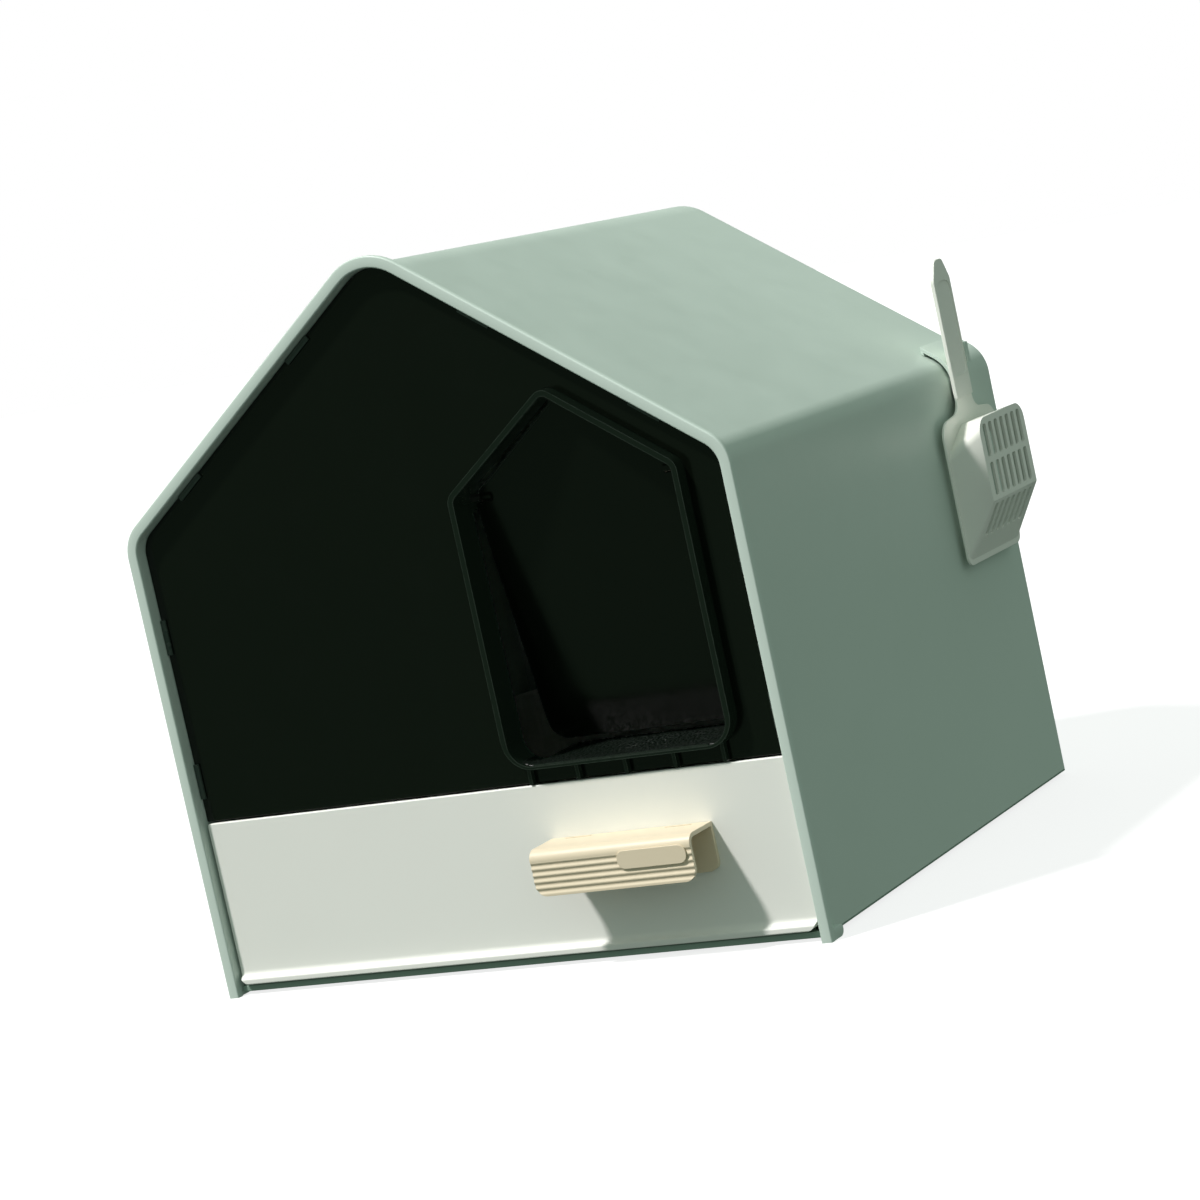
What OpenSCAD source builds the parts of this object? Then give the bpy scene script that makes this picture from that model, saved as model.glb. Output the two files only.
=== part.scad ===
// Covered litter box: a house-shaped hood with a smoked front panel, a swing
// flap in a framed entrance, a litter drawer and a scoop hung at the eave.
// X is to the right seen from the front, Y runs from the front to the back
// and Z is up. The origin is the middle of the base, on the floor.

/* [Hood] */
// Width over the front rim
hood_w = 460; // [440:5:500]
// Depth from the front rim to the back
hood_d = 434; // [410:2:480]
// Height of the rim's eave corner before rounding
eave_h = 318.6; // [310:0.2:350]
// Pitch of the roof in degrees
roof_pitch = 35.5; // [32:0.5:39]
// Wall thickness of the hood
wall = 2.2; // [1.8:0.1:3]
// How much the hood draws in on each side from front to back
side_taper = 12.6; // [0:0.2:16]
// How much the eave drops from front to back
eave_drop = 11.5; // [0:0.5:16]
// Outer radius of the ridge
ridge_r = 36; // [20:1:60]
// Outer radius of the eaves
eave_r = 21; // [12:1:34]
// How far the front rim stands proud of the hood
rim_proud = 5.6; // [4:0.2:8]
// Thickness of the front rim from front to back
rim_t = 5; // [3:0.5:7]
// Height of the hood's side walls above the floor
skirt_gap = 4.2; // [4.2:0.2:6]
// Length of the toe behind each foot of the rim
toe_len = 14; // [8:1:24]

/* [Front panel] */
// Depth of the panel's face behind the front rim
panel_recess = 9.6; // [9.6:0.2:12]
// Thickness of the panel
panel_t = 3; // [2:0.2:4]
// Length of each clip that holds the panel
clip_len = 24; // [12:1:30]

/* [Entrance] */
// Distance of the entrance frame from the hood's right side
door_margin = 29.6; // [24:0.2:60]
// Half of the entrance frame's outer width
door_half = 84; // [74:1:88]
// Height of the frame's shoulders before rounding
door_eave = 312; // [296:1:318]
// Height of the sill's grip surface above the drawer
sill_rise = 14.4; // [12.4:0.2:20]
// Width of the frame's front face
door_face = 4; // [3:0.5:5]
// Depth of the frame's tunnel
tunnel_d = 22; // [20:1:28]
// Depth of the sill behind the front rim
sill_d = 64; // [50:1:80]
// Outer radius of the frame's lower corners
door_r = 20; // [14:1:26]
// Thickness of the grip pad on the sill
grip_t = 1; // [0.6:0.2:2]

/* [Flap] */
// Thickness of the flap
flap_t = 3; // [2:0.2:4]
// Gap between the flap and the tunnel on each side
flap_gap = 3.5; // [2:0.5:6]
// Gap between the hanging flap and the sill
flap_lift = 2.4; // [1.6:0.2:5]
// Angle that the flap is pushed in by, from hanging straight down
flap_tilt = 10.8; // [0:0.2:20]
// Radius of the flap's pivots
pivot_r = 2.2; // [1.6:0.1:2.8]
// Radial running clearance of the pivots
pivot_clear = 0.05; // [0.02:0.01:0.1]

/* [Drawer] */
// Height of the drawer's top edge
drawer_h = 119.6; // [100:0.2:122]
// Depth of the drawer's face behind the front rim
face_recess = 6.5; // [6:0.1:6.6]
// Thickness of the drawer's face
face_t = 3; // [2.4:0.2:3]
// Height of the drawer's lower edge
face_low = 7.6; // [7.6:0.2:12]
// How far the lip along the bottom of the face stands out
lip_out = 4; // [2:0.2:4.4]
// Height of the lip's front
lip_h = 4; // [3:0.2:5]
// Wall thickness of the tray
tray_wall = 2.2; // [1.8:0.1:3]
// Height of the tray's rim below the drawer's top edge
tray_drop = 7.6; // [5:0.2:14]
// How much the tray's sides lean in at the bottom
tray_draft = 8; // [3:1:14]
// Height of the tray's guide rails
rail_h = 15; // [8:1:24]

/* [Handle] */
// Length of the handle
handle_len = 117; // [100:1:140]
// Distance of the handle's middle to the left of the entrance's middle
handle_left = 6.3; // [-10:0.1:40]
// Height of the handle's top above the floor
handle_top = 84; // [74:1:94]
// Height of the handle's front plate
handle_h = 30; // [28:1:36]
// Reach of the handle in front of the drawer's face
handle_reach = 34; // [24:0.5:40]
// Wall thickness of the handle
handle_wall = 2.8; // [2:0.2:3.4]
// Distance between the handle's grip grooves
groove_pitch = 4.2; // [3.6:0.2:4.6]
// Length of the bare label plate
label_len = 50; // [30:1:60]
// Height of the bare label plate
label_h = 12; // [9:0.5:14]

/* [Base] */
// Thickness of the base's floor
floor_t = 2.5; // [2:0.1:3]
// Height of the base's floor above the ground
foot_h = 2.4; // [2:0.1:3]
// Height of the base's side walls above the ground
base_h = 34; // [24:1:60]
// Radius of each rubber foot
foot_r = 15; // [10:1:20]

/* [Scoop] */
// Width of the scoop's bowl at its slotted face
scoop_w = 77; // [70:0.5:80]
// Flare of the bowl's sides from the slotted face to the rim
scoop_flare = 7; // [4:0.5:9]
// Length of the scoop's bowl
bowl_len = 97; // [88:1:104]
// Depth of the scoop's bowl
bowl_d = 25.4; // [20:0.2:30]
// Length of the part of the bowl that slopes to the tip
bowl_slope = 41.5; // [36:0.5:46]
// Length of the scoop's handle
grip_len = 111; // [100:1:130]
// Width of the scoop's handle at its neck
neck_w = 26; // [22:0.5:28]
// Width of the scoop's handle near its end
grip_w = 29; // [28:0.5:36]
// Thickness of the scoop's handle
grip_d = 4; // [3.5:0.5:6]
// Wall thickness of the scoop
scoop_wall = 1.8; // [1.4:0.1:2.4]
// Width of each slot in the bowl
slot_w = 3.9; // [3:0.1:3.9]
// Height of the bowl's tip above the floor
scoop_z = 172.5; // [160:0.5:180]
// Distance of the scoop's middle behind the front rim
scoop_y = 371; // [330:1:378]

/* [Scoop holder] */
// Width of the holder along the eave
holder_w = 53; // [50:1:56]
// Distance of the holder's middle behind the scoop's middle
holder_back = 24; // [16:0.5:25]
// Thickness of the holder's plate
holder_t = 2.4; // [2:0.1:3]
// Distance of the holder's outer face from the hood
holder_off = 4.2; // [4:0.1:5]
// Height of the holder's lower end above the floor
holder_low = 264; // [250:1:272]
// Length of the holder on the roof measured sideways
holder_roof = 16; // [10:1:24]

/* [Hidden] */

$fn = 32;
// Steps of a rounded corner and thickness of a slice that is lofted
arc_n = 8;
slice = 0.01;
// Overlap that makes cuts and unions clean
eps = 0.5;
// Clearance of pieces fitted together, of sliding pieces and of pressed pins
fit = 0.3;
slide = 1;
press = 0.02;

mint = [0.67, 0.78, 0.73];
smoke = [0.06, 0.1, 0.08];
cream = [0.91, 0.87, 0.74];
white = [0.86, 0.87, 0.84];
black = [0.1, 0.1, 0.1];
grey = [0.65, 0.63, 0.59];

front_y = -hood_d / 2;
back_y = hood_d / 2;
lean = (1 - sin(roof_pitch)) / cos(roof_pitch);
shell_half = hood_w / 2 - rim_proud;
shell_eave = eave_h - rim_proud * lean;

// Points of a closed outline whose corner i is rounded to the radius r[i]
function unit(v) = v / norm(v);
function arc(mid, r, a0, turn, n) =
    [for (i = [0:n]) mid + r * [cos(a0 + turn * i / n), sin(a0 + turn * i / n)]];
function corner(a, b, c, r, n) =
    let(u = unit(a - b), v = unit(c - b), half = acos(u * v) / 2,
        mid = b + unit(u + v) * r / sin(half),
        from = b + u * r / tan(half) - mid,
        to = b + v * r / tan(half) - mid,
        turn = atan2(from[0] * to[1] - from[1] * to[0], from * to))
    r <= 0 ? [b] : arc(mid, r, atan2(from[1], from[0]), turn, n);
function rounded(p, r, n = arc_n) =
    let(m = len(p))
    [for (i = [0:m - 1]) each corner(p[(i + m - 1) % m], p[i], p[(i + 1) % m], r[i], n)];

// A house outline, moved in by an inset from one of a given half width and eave height
function house_eave(eave, inset) = eave - inset * lean;
function house(half, eave, bottom, inset, r_eave, r_ridge, r_low) =
    let(w = half - inset, e = house_eave(eave, inset))
    rounded([[-w, bottom], [w, bottom], [w, e], [0, e + w * tan(roof_pitch)], [-w, e]],
        [r_low, r_low, max(r_eave - inset, 1), max(r_ridge - inset, 1), max(r_eave - inset, 1)]);

// A rectangle with rounded corners between two opposite corners
function box_outline(a, b, r, n = arc_n) =
    rounded([a, [b[0], a[1]], b, [a[0], b[1]]], [r, r, r, r], n);

// An upright outline made into a slab from y to y + t
module slab(y, t) {
    translate([0, y + t, 0]) rotate([90, 0, 0]) linear_extrude(t) children();
}

// An outline of Y and Z made into a bar from x to x + t
module bar(x, t) {
    translate([x, 0, 0]) rotate([90, 0, 90]) linear_extrude(t) children();
}

// Half width and eave height of the hood's outside at a depth y
function hood_half(y) = shell_half - side_taper * (y - front_y) / hood_d;
function hood_eave(y) = shell_eave - eave_drop * (y - front_y) / hood_d;

module hood_outline(y, inset, bottom) {
    polygon(house(hood_half(y), hood_eave(y), bottom, inset, eave_r, ridge_r, 0));
}

module hood_slice(y, inset, bottom) {
    slab(y, slice) hood_outline(y, inset, bottom);
}

// The hood's tapered form between two depths, moved in by an inset
module hood_loft(y0, y1, inset, bottom) {
    hull() {
        hood_slice(y0, inset, bottom);
        hood_slice(y1 - slice, inset, bottom);
    }
}

// Face and lower edge of the front panel
panel_y = front_y + panel_recess;
panel_low = drawer_h + slide;

// Rounding of the rim's front edge and of the edges round the back wall
edge = 1.2;
back_round = 4;
toe_h = 7.5;
toe_r = 4.6;

module hood_toe() {
    toe_w = rim_proud + wall / 2;
    bar(hood_w / 2 - toe_w, toe_w)
        polygon(rounded([[front_y + eps, 0], [front_y + rim_t + toe_len, 0],
            [front_y + rim_t + toe_len, toe_h], [front_y + eps, toe_h]], [0, toe_r, toe_h / 3, 0]));
}

module hood_solid() {
    hull() {
        hood_slice(front_y + edge, 0, skirt_gap);
        hood_slice(back_y - back_round, 0, skirt_gap);
        hood_slice(back_y - back_round * 0.3, back_round * 0.3, skirt_gap);
        hood_slice(back_y - slice, back_round, skirt_gap);
    }
    hull() {
        hood_slice(front_y, edge - rim_proud, 0);
        hood_slice(front_y + edge, -rim_proud, 0);
        hood_slice(front_y + rim_t - slice, -rim_proud, 0);
    }
    hood_toe();
    mirror([1, 0, 0]) hood_toe();
}

// The ledge inside the hood that the front panel rests against
ledge_w = 4;
ledge_t = 2.4;
ledge_y = panel_y + panel_t + fit / 2;
ledge_low = panel_low + slide;
module hood_ledge() {
    slab(ledge_y, ledge_t) difference() {
        hood_outline(ledge_y, wall - fit, ledge_low);
        hood_outline(ledge_y, wall + ledge_w, ledge_low - eps);
    }
}

module hood_shell() {
    color(mint) {
        difference() {
            hood_solid();
            hood_loft(front_y - eps, back_y - wall, wall, -eps);
            hull() {
                hood_slice(front_y - eps, wall - edge - eps, -eps);
                hood_slice(front_y + edge, wall, -eps);
            }
            for (s = [-1, 1])
                translate([hood_half(peg_y(s)), peg_y(s), peg_z]) rotate([0, 90, 0])
                    cylinder(h = 4 * wall, r = peg_r + fit / 3, center = true);
        }
        hood_ledge();
    }
}

module front_panel() {
    color(smoke) slab(panel_y, panel_t) difference() {
        polygon(house(hood_half(panel_y + panel_t), hood_eave(panel_y + panel_t), panel_low,
            wall + fit, eave_r, ridge_r, 0));
        entry_outline(-fit, sill_h - sill_t - fit);
    }
}

// Heights of the clips on the walls and their places up the roof, as shares of its half width
clip_heights = [148.6, 248.4];
clip_shares = [0.21, 0.69];
clip_w = 4;
clip_t = 1.6;

module panel_clips(side) {
    w = hood_half(panel_y) - wall - fit;
    e = house_eave(hood_eave(panel_y), wall + fit);
    color(smoke) mirror([side < 0 ? 1 : 0, 0, 0]) slab(panel_y - clip_t, clip_t) {
        for (h = clip_heights)
            translate([w - clip_w, h - clip_len / 2]) square([clip_w, clip_len]);
        for (s = clip_shares)
            translate([w * (1 - s), e + w * s * tan(roof_pitch)]) rotate(-roof_pitch)
                translate([-clip_len / 2, -clip_w]) square([clip_len, clip_w]);
    }
}

module panel_clips_left() {
    panel_clips(-1);
}

module panel_clips_right() {
    panel_clips(1);
}

// The entrance frame: its corners, its wall behind the panel and the thickness of its sill
door_shoulder_r = 10;
door_apex_r = 9;
sill_t = 3;
flange_w = 6;
flange_t = 2.4;
rib_count = 5;
rib_pitch = 35.6;
rib_t = 2.6;
rib_recess = 5.5;
rib_back_h = 9;

door_x = hood_half(panel_y) - wall - door_margin - door_half;

module entry_outline(inset, bottom, r_low = door_r) {
    translate([door_x, 0]) polygon(house(door_half, door_eave, bottom, inset, door_shoulder_r,
        door_apex_r, r_low));
}

sill_h = drawer_h + sill_rise;
sill_low = sill_h - sill_t;
sill_seat = sill_h - grip_t;
flat_half = door_half - door_r;
grip_lip = 3;
ear_h = 16;
ear_d = 9;
pivot_y = front_y + tunnel_d + 1;
pivot_z = door_eave - 5;

module entry_ring(y, t) {
    slab(y, t) difference() {
        entry_outline(0, sill_low);
        entry_outline(door_face, sill_seat, door_r - door_face);
    }
}

module entry_ears() {
    intersection() {
        entry_ring(pivot_y - ear_d, 2 * ear_d);
        translate([door_x - door_half, pivot_y - ear_d, pivot_z - ear_h / 2])
            cube([2 * door_half, 2 * ear_d, ear_h]);
    }
}

module entry_sill() {
    translate([door_x - flat_half, front_y + eps, sill_low])
        cube([2 * flat_half, sill_d - eps, sill_t - grip_t]);
    translate([door_x - flat_half, front_y + edge / 2, sill_low])
        cube([2 * flat_half, grip_lip - edge / 2, sill_t]);
    for (i = [0:rib_count - 1])
        entry_rib(door_x + (i - (rib_count - 1) / 2) * rib_pitch - rib_t / 2);
}

module entry_rib(x) {
    back = panel_y + panel_t + flange_t;
    intersection() {
        union() {
            bar(x, rib_t) polygon([[front_y + rib_recess, panel_low],
                [panel_y - fit / 2, panel_low], [panel_y - fit / 2, sill_h + slide],
                [front_y + rib_recess, sill_h + slide]]);
            bar(x, rib_t) polygon([[back - eps, sill_low - rib_back_h + slide],
                [back, sill_low - rib_back_h + slide], [front_y + sill_d - eps, sill_low - eps],
                [front_y + sill_d - eps, sill_low + eps], [back - eps, sill_low + eps]]);
        }
        slab(front_y, sill_d) union() {
            difference() {
                entry_outline(0, panel_low, 0);
                entry_outline(door_face / 2, sill_seat - grip_t, door_r);
            }
        }
    }
}

module entry_frame() {
    color(smoke) difference() {
        union() {
            entry_ring(front_y, tunnel_d);
            slab(panel_y + panel_t, flange_t) difference() {
                entry_outline(-flange_w, panel_low + slide);
                entry_outline(door_face / 2, sill_low + sill_t / 2);
            }
            entry_ears();
            entry_sill();
        }
        for (s = [-1, 1])
            translate([door_x + s * (door_half - door_face / 2), pivot_y, pivot_z]) rotate([0, 90, 0])
                cylinder(h = 4 * door_face, r = pivot_r + pivot_clear, center = true);
    }
}

module sill_grip() {
    color(black) translate([door_x, front_y + grip_lip, sill_seat]) linear_extrude(grip_t)
        polygon(box_outline([-flat_half + fit, fit], [flat_half - fit, sill_d - grip_lip - fit], 3));
}

// The flap hangs from pins in two barrels at its shoulders
barrel_r = 3.4;
barrel_len = 8;
pin_in = 7;
flap_low_r = 13;
flap_inset = door_face + flap_gap;
flap_half = door_half - flap_inset;
barrel_x = flap_half - barrel_len - 5;

module hung() {
    translate([door_x, pivot_y, pivot_z]) rotate([flap_tilt, 0, 0]) children();
}

module swing_flap() {
    color(smoke) hung() difference() {
        union() {
            difference() {
                translate([-door_x, 0, -pivot_z]) slab(-flap_t / 2, flap_t) difference() {
                    entry_outline(flap_inset, sill_h + flap_lift, flap_low_r);
                    for (s = [-1, 1])
                        translate([door_x + s * flap_half, pivot_z]) square([10, 2 * barrel_r + 1],
                            center = true);
                }
            }
            for (s = [-1, 1])
                mirror([s < 0 ? 1 : 0, 0, 0]) translate([barrel_x, 0, 0]) rotate([0, 90, 0])
                    cylinder(h = barrel_len, r = barrel_r);
        }
        for (s = [-1, 1])
            mirror([s < 0 ? 1 : 0, 0, 0]) translate([barrel_x + barrel_len - pin_in, 0, 0])
                rotate([0, 90, 0]) cylinder(h = pin_in + barrel_len, r = pivot_r + press);
    }
}

module pivot(side) {
    from = barrel_x + barrel_len - pin_in + fit;
    color(grey) hung() mirror([side < 0 ? 1 : 0, 0, 0]) translate([from, 0, 0]) rotate([0, 90, 0])
        cylinder(h = door_half - fit - from, r = pivot_r);
}

module pivot_left() {
    pivot(-1);
}

module pivot_right() {
    pivot(1);
}

// The base pan stands inside the hood, with a flange under the hood's side walls
base_wall = 2.2;
base_front = front_y + 6;
base_back = back_y - wall - fit;
floor_top = foot_h + floor_t;
rail_t = 1.6;
sill_top = floor_top + rail_t;
pad_r = 40;
flange_edge = 0.8;

function base_half(y) = hood_half(y) - wall - fit;

module base_outline(inset, y0, y1) {
    polygon([[-base_half(y0) + inset, y0], [base_half(y0) - inset, y0],
        [base_half(y1) - inset, y1], [-base_half(y1) + inset, y1]]);
}

module base_pan() {
    hood_edge = -wall - fit + flange_edge;
    toe_back = front_y + rim_t + toe_len + slide;
    color(mint) {
        difference() {
            translate([0, 0, foot_h]) linear_extrude(base_h - foot_h)
                base_outline(0, base_front, base_back);
            translate([0, 0, floor_top]) linear_extrude(base_h)
                base_outline(base_wall, base_front + base_wall, base_back - base_wall);
            translate([0, 0, sill_top]) linear_extrude(base_h)
                base_outline(-eps, base_front - eps, front_y + rim_t + toe_len);
        }
        translate([0, 0, foot_h]) linear_extrude(skirt_gap - fit - foot_h)
            base_outline(hood_edge, toe_back, back_y - flange_edge);
        cylinder(h = foot_h + eps, r = pad_r, $fn = 64);
    }
}

foot_in = 46;

module foot(sx, sy) {
    y = sy * (hood_d / 2 - foot_in);
    color(black) translate([sx * (base_half(y) - foot_in), y, 0]) cylinder(h = foot_h, r = foot_r);
}

module foot_front_left() {
    foot(-1, -1);
}

module foot_front_right() {
    foot(1, -1);
}

module foot_back_left() {
    foot(-1, 1);
}

module foot_back_right() {
    foot(1, 1);
}

// The tray runs on two rails and is set by what is left behind the face
tray_back = base_back - base_wall - 3 * slide;
tray_flange = 3;
tray_half = base_half(tray_back) - base_wall - slide;
tray_low_half = tray_half - tray_draft;
tray_low = sill_top + fit;
tray_top = drawer_h - tray_drop;
tray_r = 24;
rail_w = 14;
rail_in = 29;

// Half width of the tray at a height above the tray's bottom
function tray_side(h) = tray_low_half + tray_draft * h / (tray_top - tray_low);

module rail(side) {
    fence = tray_side(rail_h) + slide;
    front = front_y + rim_t + toe_len + rail_in;
    back = base_back - base_wall - slide;
    color(grey) mirror([side < 0 ? 1 : 0, 0, 0])
        translate([0, back, 0]) rotate([90, 0, 0])
            linear_extrude(back - front)
                polygon(rounded([[fence - rail_w, floor_top], [fence + base_wall, floor_top],
                    [fence + base_wall, floor_top + rail_h], [fence, floor_top + rail_h],
                    [fence, sill_top], [fence - rail_w, sill_top]],
                    [0, 0, 0.6, 0.6, 0, 0.6]));
}

module rail_left() {
    rail(-1);
}

module rail_right() {
    rail(1);
}

face_y = front_y + face_recess;
face_gap = 2.2;
face_r = 8;
lip_in_d = 5;

module tray_loft(inset, low, top) {
    hull() {
        translate([0, 0, low]) linear_extrude(slice)
            polygon(tray_plan(tray_low_half - inset, inset));
        translate([0, 0, top - slice]) linear_extrude(slice)
            polygon(tray_plan(tray_half - inset, inset));
    }
}

function tray_plan(half, inset) =
    rounded([[-half, face_y + face_t - eps], [half, face_y + face_t - eps],
        [half, tray_back - inset], [-half, tray_back - inset]], [0, 0, tray_r - inset, tray_r - inset]);

module drawer_face() {
    half = hood_half(face_y) - wall - face_gap;
    back = face_y + face_t;
    intersection() {
        bar(-half, 2 * half)
            polygon(rounded([[face_y - lip_out, face_low], [back + lip_in_d, face_low],
                [back + lip_in_d, face_low + face_t], [back, face_low + face_t],
                [back, drawer_h], [face_y, drawer_h],
                [face_y, face_low + lip_h + lip_out / 2], [face_y - lip_out, face_low + lip_h]],
                [1, 1, 0, 2, 1, 1, 1.2 * lip_out, lip_out / 2.5]));
        slab(front_y, hood_d)
            polygon(rounded([[-half, face_low], [half, face_low], [half, drawer_h], [-half, drawer_h]],
                [face_r, face_r, 2, 2]));
    }
}

module drawer_tray() {
    color(white) {
        drawer_face();
        difference() {
            union() {
                tray_loft(0, tray_low, tray_top);
                translate([0, 0, tray_top - tray_wall]) linear_extrude(tray_wall)
                    polygon(rounded([[-tray_half, face_y + face_t - eps],
                        [tray_half, face_y + face_t - eps], [tray_half, tray_back + slide],
                        [-tray_half, tray_back + slide]], [0, 0, tray_r, tray_r]));
            }
            translate([0, 0, tray_wall]) tray_loft(tray_wall, tray_low, tray_top);
            translate([0, 0, tray_top - tray_wall - eps]) linear_extrude(3 * tray_wall)
                intersection() {
                    polygon(tray_plan(tray_half - 2 * tray_wall, 2 * tray_wall));
                    translate([-hood_w, face_y + face_t]) square([2 * hood_w, hood_d]);
                }
        }
    }
}

// The handle is a channel open below, with grip grooves on its front plate
handle_x = door_x - handle_left;
handle_low = handle_top - handle_h;
handle_front = face_y - handle_reach;
handle_round = 7;
groove_r = 1.1;
groove_deep = 0.6;
groove_count = 6;
snap_len = 19.5;
snap_w = 1.2;
snap_out = 36.75;
plate_r = 8;

module handle_section() {
    difference() {
        polygon(rounded([[face_y, handle_low - 2], [face_y, handle_top], [handle_front, handle_top],
            [handle_front, handle_low], [handle_front + handle_wall, handle_low],
            [handle_front + handle_wall, handle_top - handle_wall],
            [face_y - handle_wall, handle_top - handle_wall], [face_y - handle_wall, handle_low - 2]],
            [0, 0.6, handle_round, 1, 1, handle_round - handle_wall, 2, 0.6]));
        for (i = [0:groove_count - 1])
            translate([handle_front - groove_r + groove_deep, handle_low + (i + 0.8) * groove_pitch])
                circle(groove_r, $fn = 16);
    }
}

module drawer_handle() {
    x0 = handle_x - handle_len / 2;
    color(cream) difference() {
        bar(x0, handle_len) handle_section();
        for (s = [-1, 1])
            translate([handle_x + s * snap_out, face_y - handle_wall - snap_w, handle_top])
                cube([snap_len, snap_w, 4 * handle_wall], center = true);
        translate([0, face_y - handle_wall - handle_reach, 0]) slab(0, handle_reach - handle_wall)
            difference() {
                translate([x0 - eps, handle_low - eps]) square([handle_len + 2 * eps, handle_h / 2]);
                polygon(rounded([[x0, handle_low], [x0 + handle_len, handle_low],
                    [x0 + handle_len, handle_top], [x0, handle_top]], [plate_r, plate_r, 0, 0]));
            }
    }
}

label_t = 1;
label_in = 3.4;

module label_plate() {
    x = handle_x + handle_len / 2 - label_in - label_len / 2;
    z = handle_top - handle_round - label_h / 2 + 1.5;
    color(cream) slab(handle_front - label_t, label_t) translate([x, z])
        polygon(box_outline([-label_len / 2, -label_h / 2], [label_len / 2, label_h / 2],
            label_h / 2 - 0.5));
}

// The holder wraps the right eave. The scoop's handle lies on its pad, beside its finger
hang_y = front_y + scoop_y;
hold_y = hang_y + holder_back;
hold_y0 = hold_y - holder_w / 2;
hold_y1 = hold_y + holder_w / 2;
holder_edge = 2.4;
peg_r = 3;
peg_z = (holder_low + hood_eave(hang_y)) / 2 - 8;
peg_out = 16;
finger_w = 4.5;
finger_h = 14;
finger_z = hood_eave(hang_y);
finger_len = 5;
finger_root = 12;
pad_w = 14;
pad_h = 12;
pad_z = 283;
function peg_y(s) = hold_y + s * peg_out;

module holder_layer(in, out, y0, y1) {
    difference() {
        hood_loft(y0, y1, -out, 0);
        hood_loft(y0 - eps, y1 + eps, -in, -eps);
    }
}

module holder_window(margin) {
    x0 = hood_half(hang_y) - holder_roof + margin;
    translate([x0, front_y, holder_low + margin]) cube([hood_w, 2 * hood_d, hood_w]);
}

holder_face = hood_half(hang_y) + holder_off;

module scoop_holder() {
    color(mint) {
        difference() {
            intersection() {
                holder_layer(fit, holder_off, hold_y0, hold_y1);
                holder_window(0);
            }
            intersection() {
                hood_loft(hold_y0 - eps, hold_y1 + eps, holder_t - holder_off, 0);
                holder_window(holder_edge);
            }
        }
        difference() {
            translate([0, finger_y, finger_z]) holder_stub(finger_w, finger_h, finger_len);
            hood_loft(hold_y0, hold_y1, holder_t - holder_off, 0);
        }
        translate([0, hold_y0, pad_z]) holder_stub(pad_w, pad_h, scoop_gap - fit, holder_t / 2);
    }
}

// Half width of the scoop's handle at a height z, and the side of the finger beside it
neck_rise = 12;
neck_len = 26;
grip_end = 14;
end_share = 0.45;
grip_z0 = scoop_z + bowl_len + neck_len;
grip_z1 = scoop_z + bowl_len + grip_len - grip_end;
function grip_half(z) = (neck_w + (grip_w - neck_w) * (z - grip_z0) / (grip_z1 - grip_z0)) / 2;
finger_y = hang_y + grip_half(finger_z + finger_h) + fit;

// A rounded block that stands out of the holder's face
module holder_stub(w, h, out, root = finger_root) {
    bar(holder_face - root, root + out) polygon(box_outline([0, 0], [w, h], 2));
}

module holder_pegs() {
    color(mint) for (s = [-1, 1])
        translate([hood_half(peg_y(s)), peg_y(s), peg_z]) rotate([0, 90, 0]) {
            translate([0, 0, -wall - 2.4]) cylinder(h = 2, r = peg_r + 2.2);
            translate([0, 0, -wall - 1]) cylinder(h = wall + holder_off - holder_t + 0.8, r = peg_r);
        }
}

// The scoop is drawn with its rim plane on the ground, its tip at the front
// and its slotted face up, and is then stood up on its tip beside the hood
scoop_gap = 1.6;
lip_in = 3;
mouth_lip = 1;
bowl_top = bowl_len - lip_in;
bowl_bend_a = atan2(bowl_d, bowl_slope - mouth_lip);
rim_half = scoop_w / 2 + scoop_flare;
mouth_half = rim_half - 1.4;
mouth_turn = 50;
face_corner_r = 12;
slot_cols = 7;
slot_end = 4.4;
slot_gap = 3.8;
slot_bend = 3;
slot_slope_len = 25;
channel_d = 1.2;

// The bowl's outline in the rim plane, which narrows to the handle's neck
function mouth_plan(inset, tip) =
    let(n = neck_w / 2 - inset / 2, s = mouth_half - inset, top = bowl_top - inset)
    rounded([[-s, tip], [s, tip], [s, mouth_turn], [n, top], [-n, top], [-s, mouth_turn]],
        [6 - inset, 6 - inset, 8, 3, 3, 8]);

// The outline of the slotted face
function face_plan(inset, low) =
    let(s = scoop_w / 2 - inset, r = face_corner_r - inset)
    rounded([[-s, low], [s, low], [s, bowl_top - inset], [-s, bowl_top - inset]], [0, 0, r, r]);

module bowl_form(inset, below) {
    hull() {
        translate([0, 0, -below]) linear_extrude(below + slice)
            polygon(mouth_plan(inset, mouth_lip + inset / sin(bowl_bend_a)));
        translate([0, 0, bowl_d - inset - slice]) linear_extrude(slice)
            polygon(face_plan(inset, bowl_slope + inset * tan(bowl_bend_a / 2)));
    }
}

// A row of slots from y0 to y1, cut down through the ground plane
module slot_row(y0, y1) {
    pitch = (scoop_w - 2 * slot_end) / slot_cols;
    translate([0, 0, -scoop_wall - 1]) linear_extrude(scoop_wall + 2)
        for (c = [0:slot_cols - 1])
            translate([(c - (slot_cols - 1) / 2) * pitch, 0])
                polygon(box_outline([-slot_w / 2, y0], [slot_w / 2, y1], slot_w / 3, 3));
}

module scoop_slots() {
    slope = norm([bowl_slope - mouth_lip, bowl_d]);
    low = bowl_slope + slot_bend;
    len = (bowl_top - slot_end - low - slot_gap) / 2;
    translate([0, 0, bowl_d]) {
        slot_row(low, low + len);
        slot_row(bowl_top - slot_end - len, bowl_top - slot_end);
    }
    translate([0, mouth_lip, 0]) rotate([bowl_bend_a, 0, 0])
        slot_row(slope - slot_bend - slot_slope_len, slope - slot_bend);
}

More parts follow.
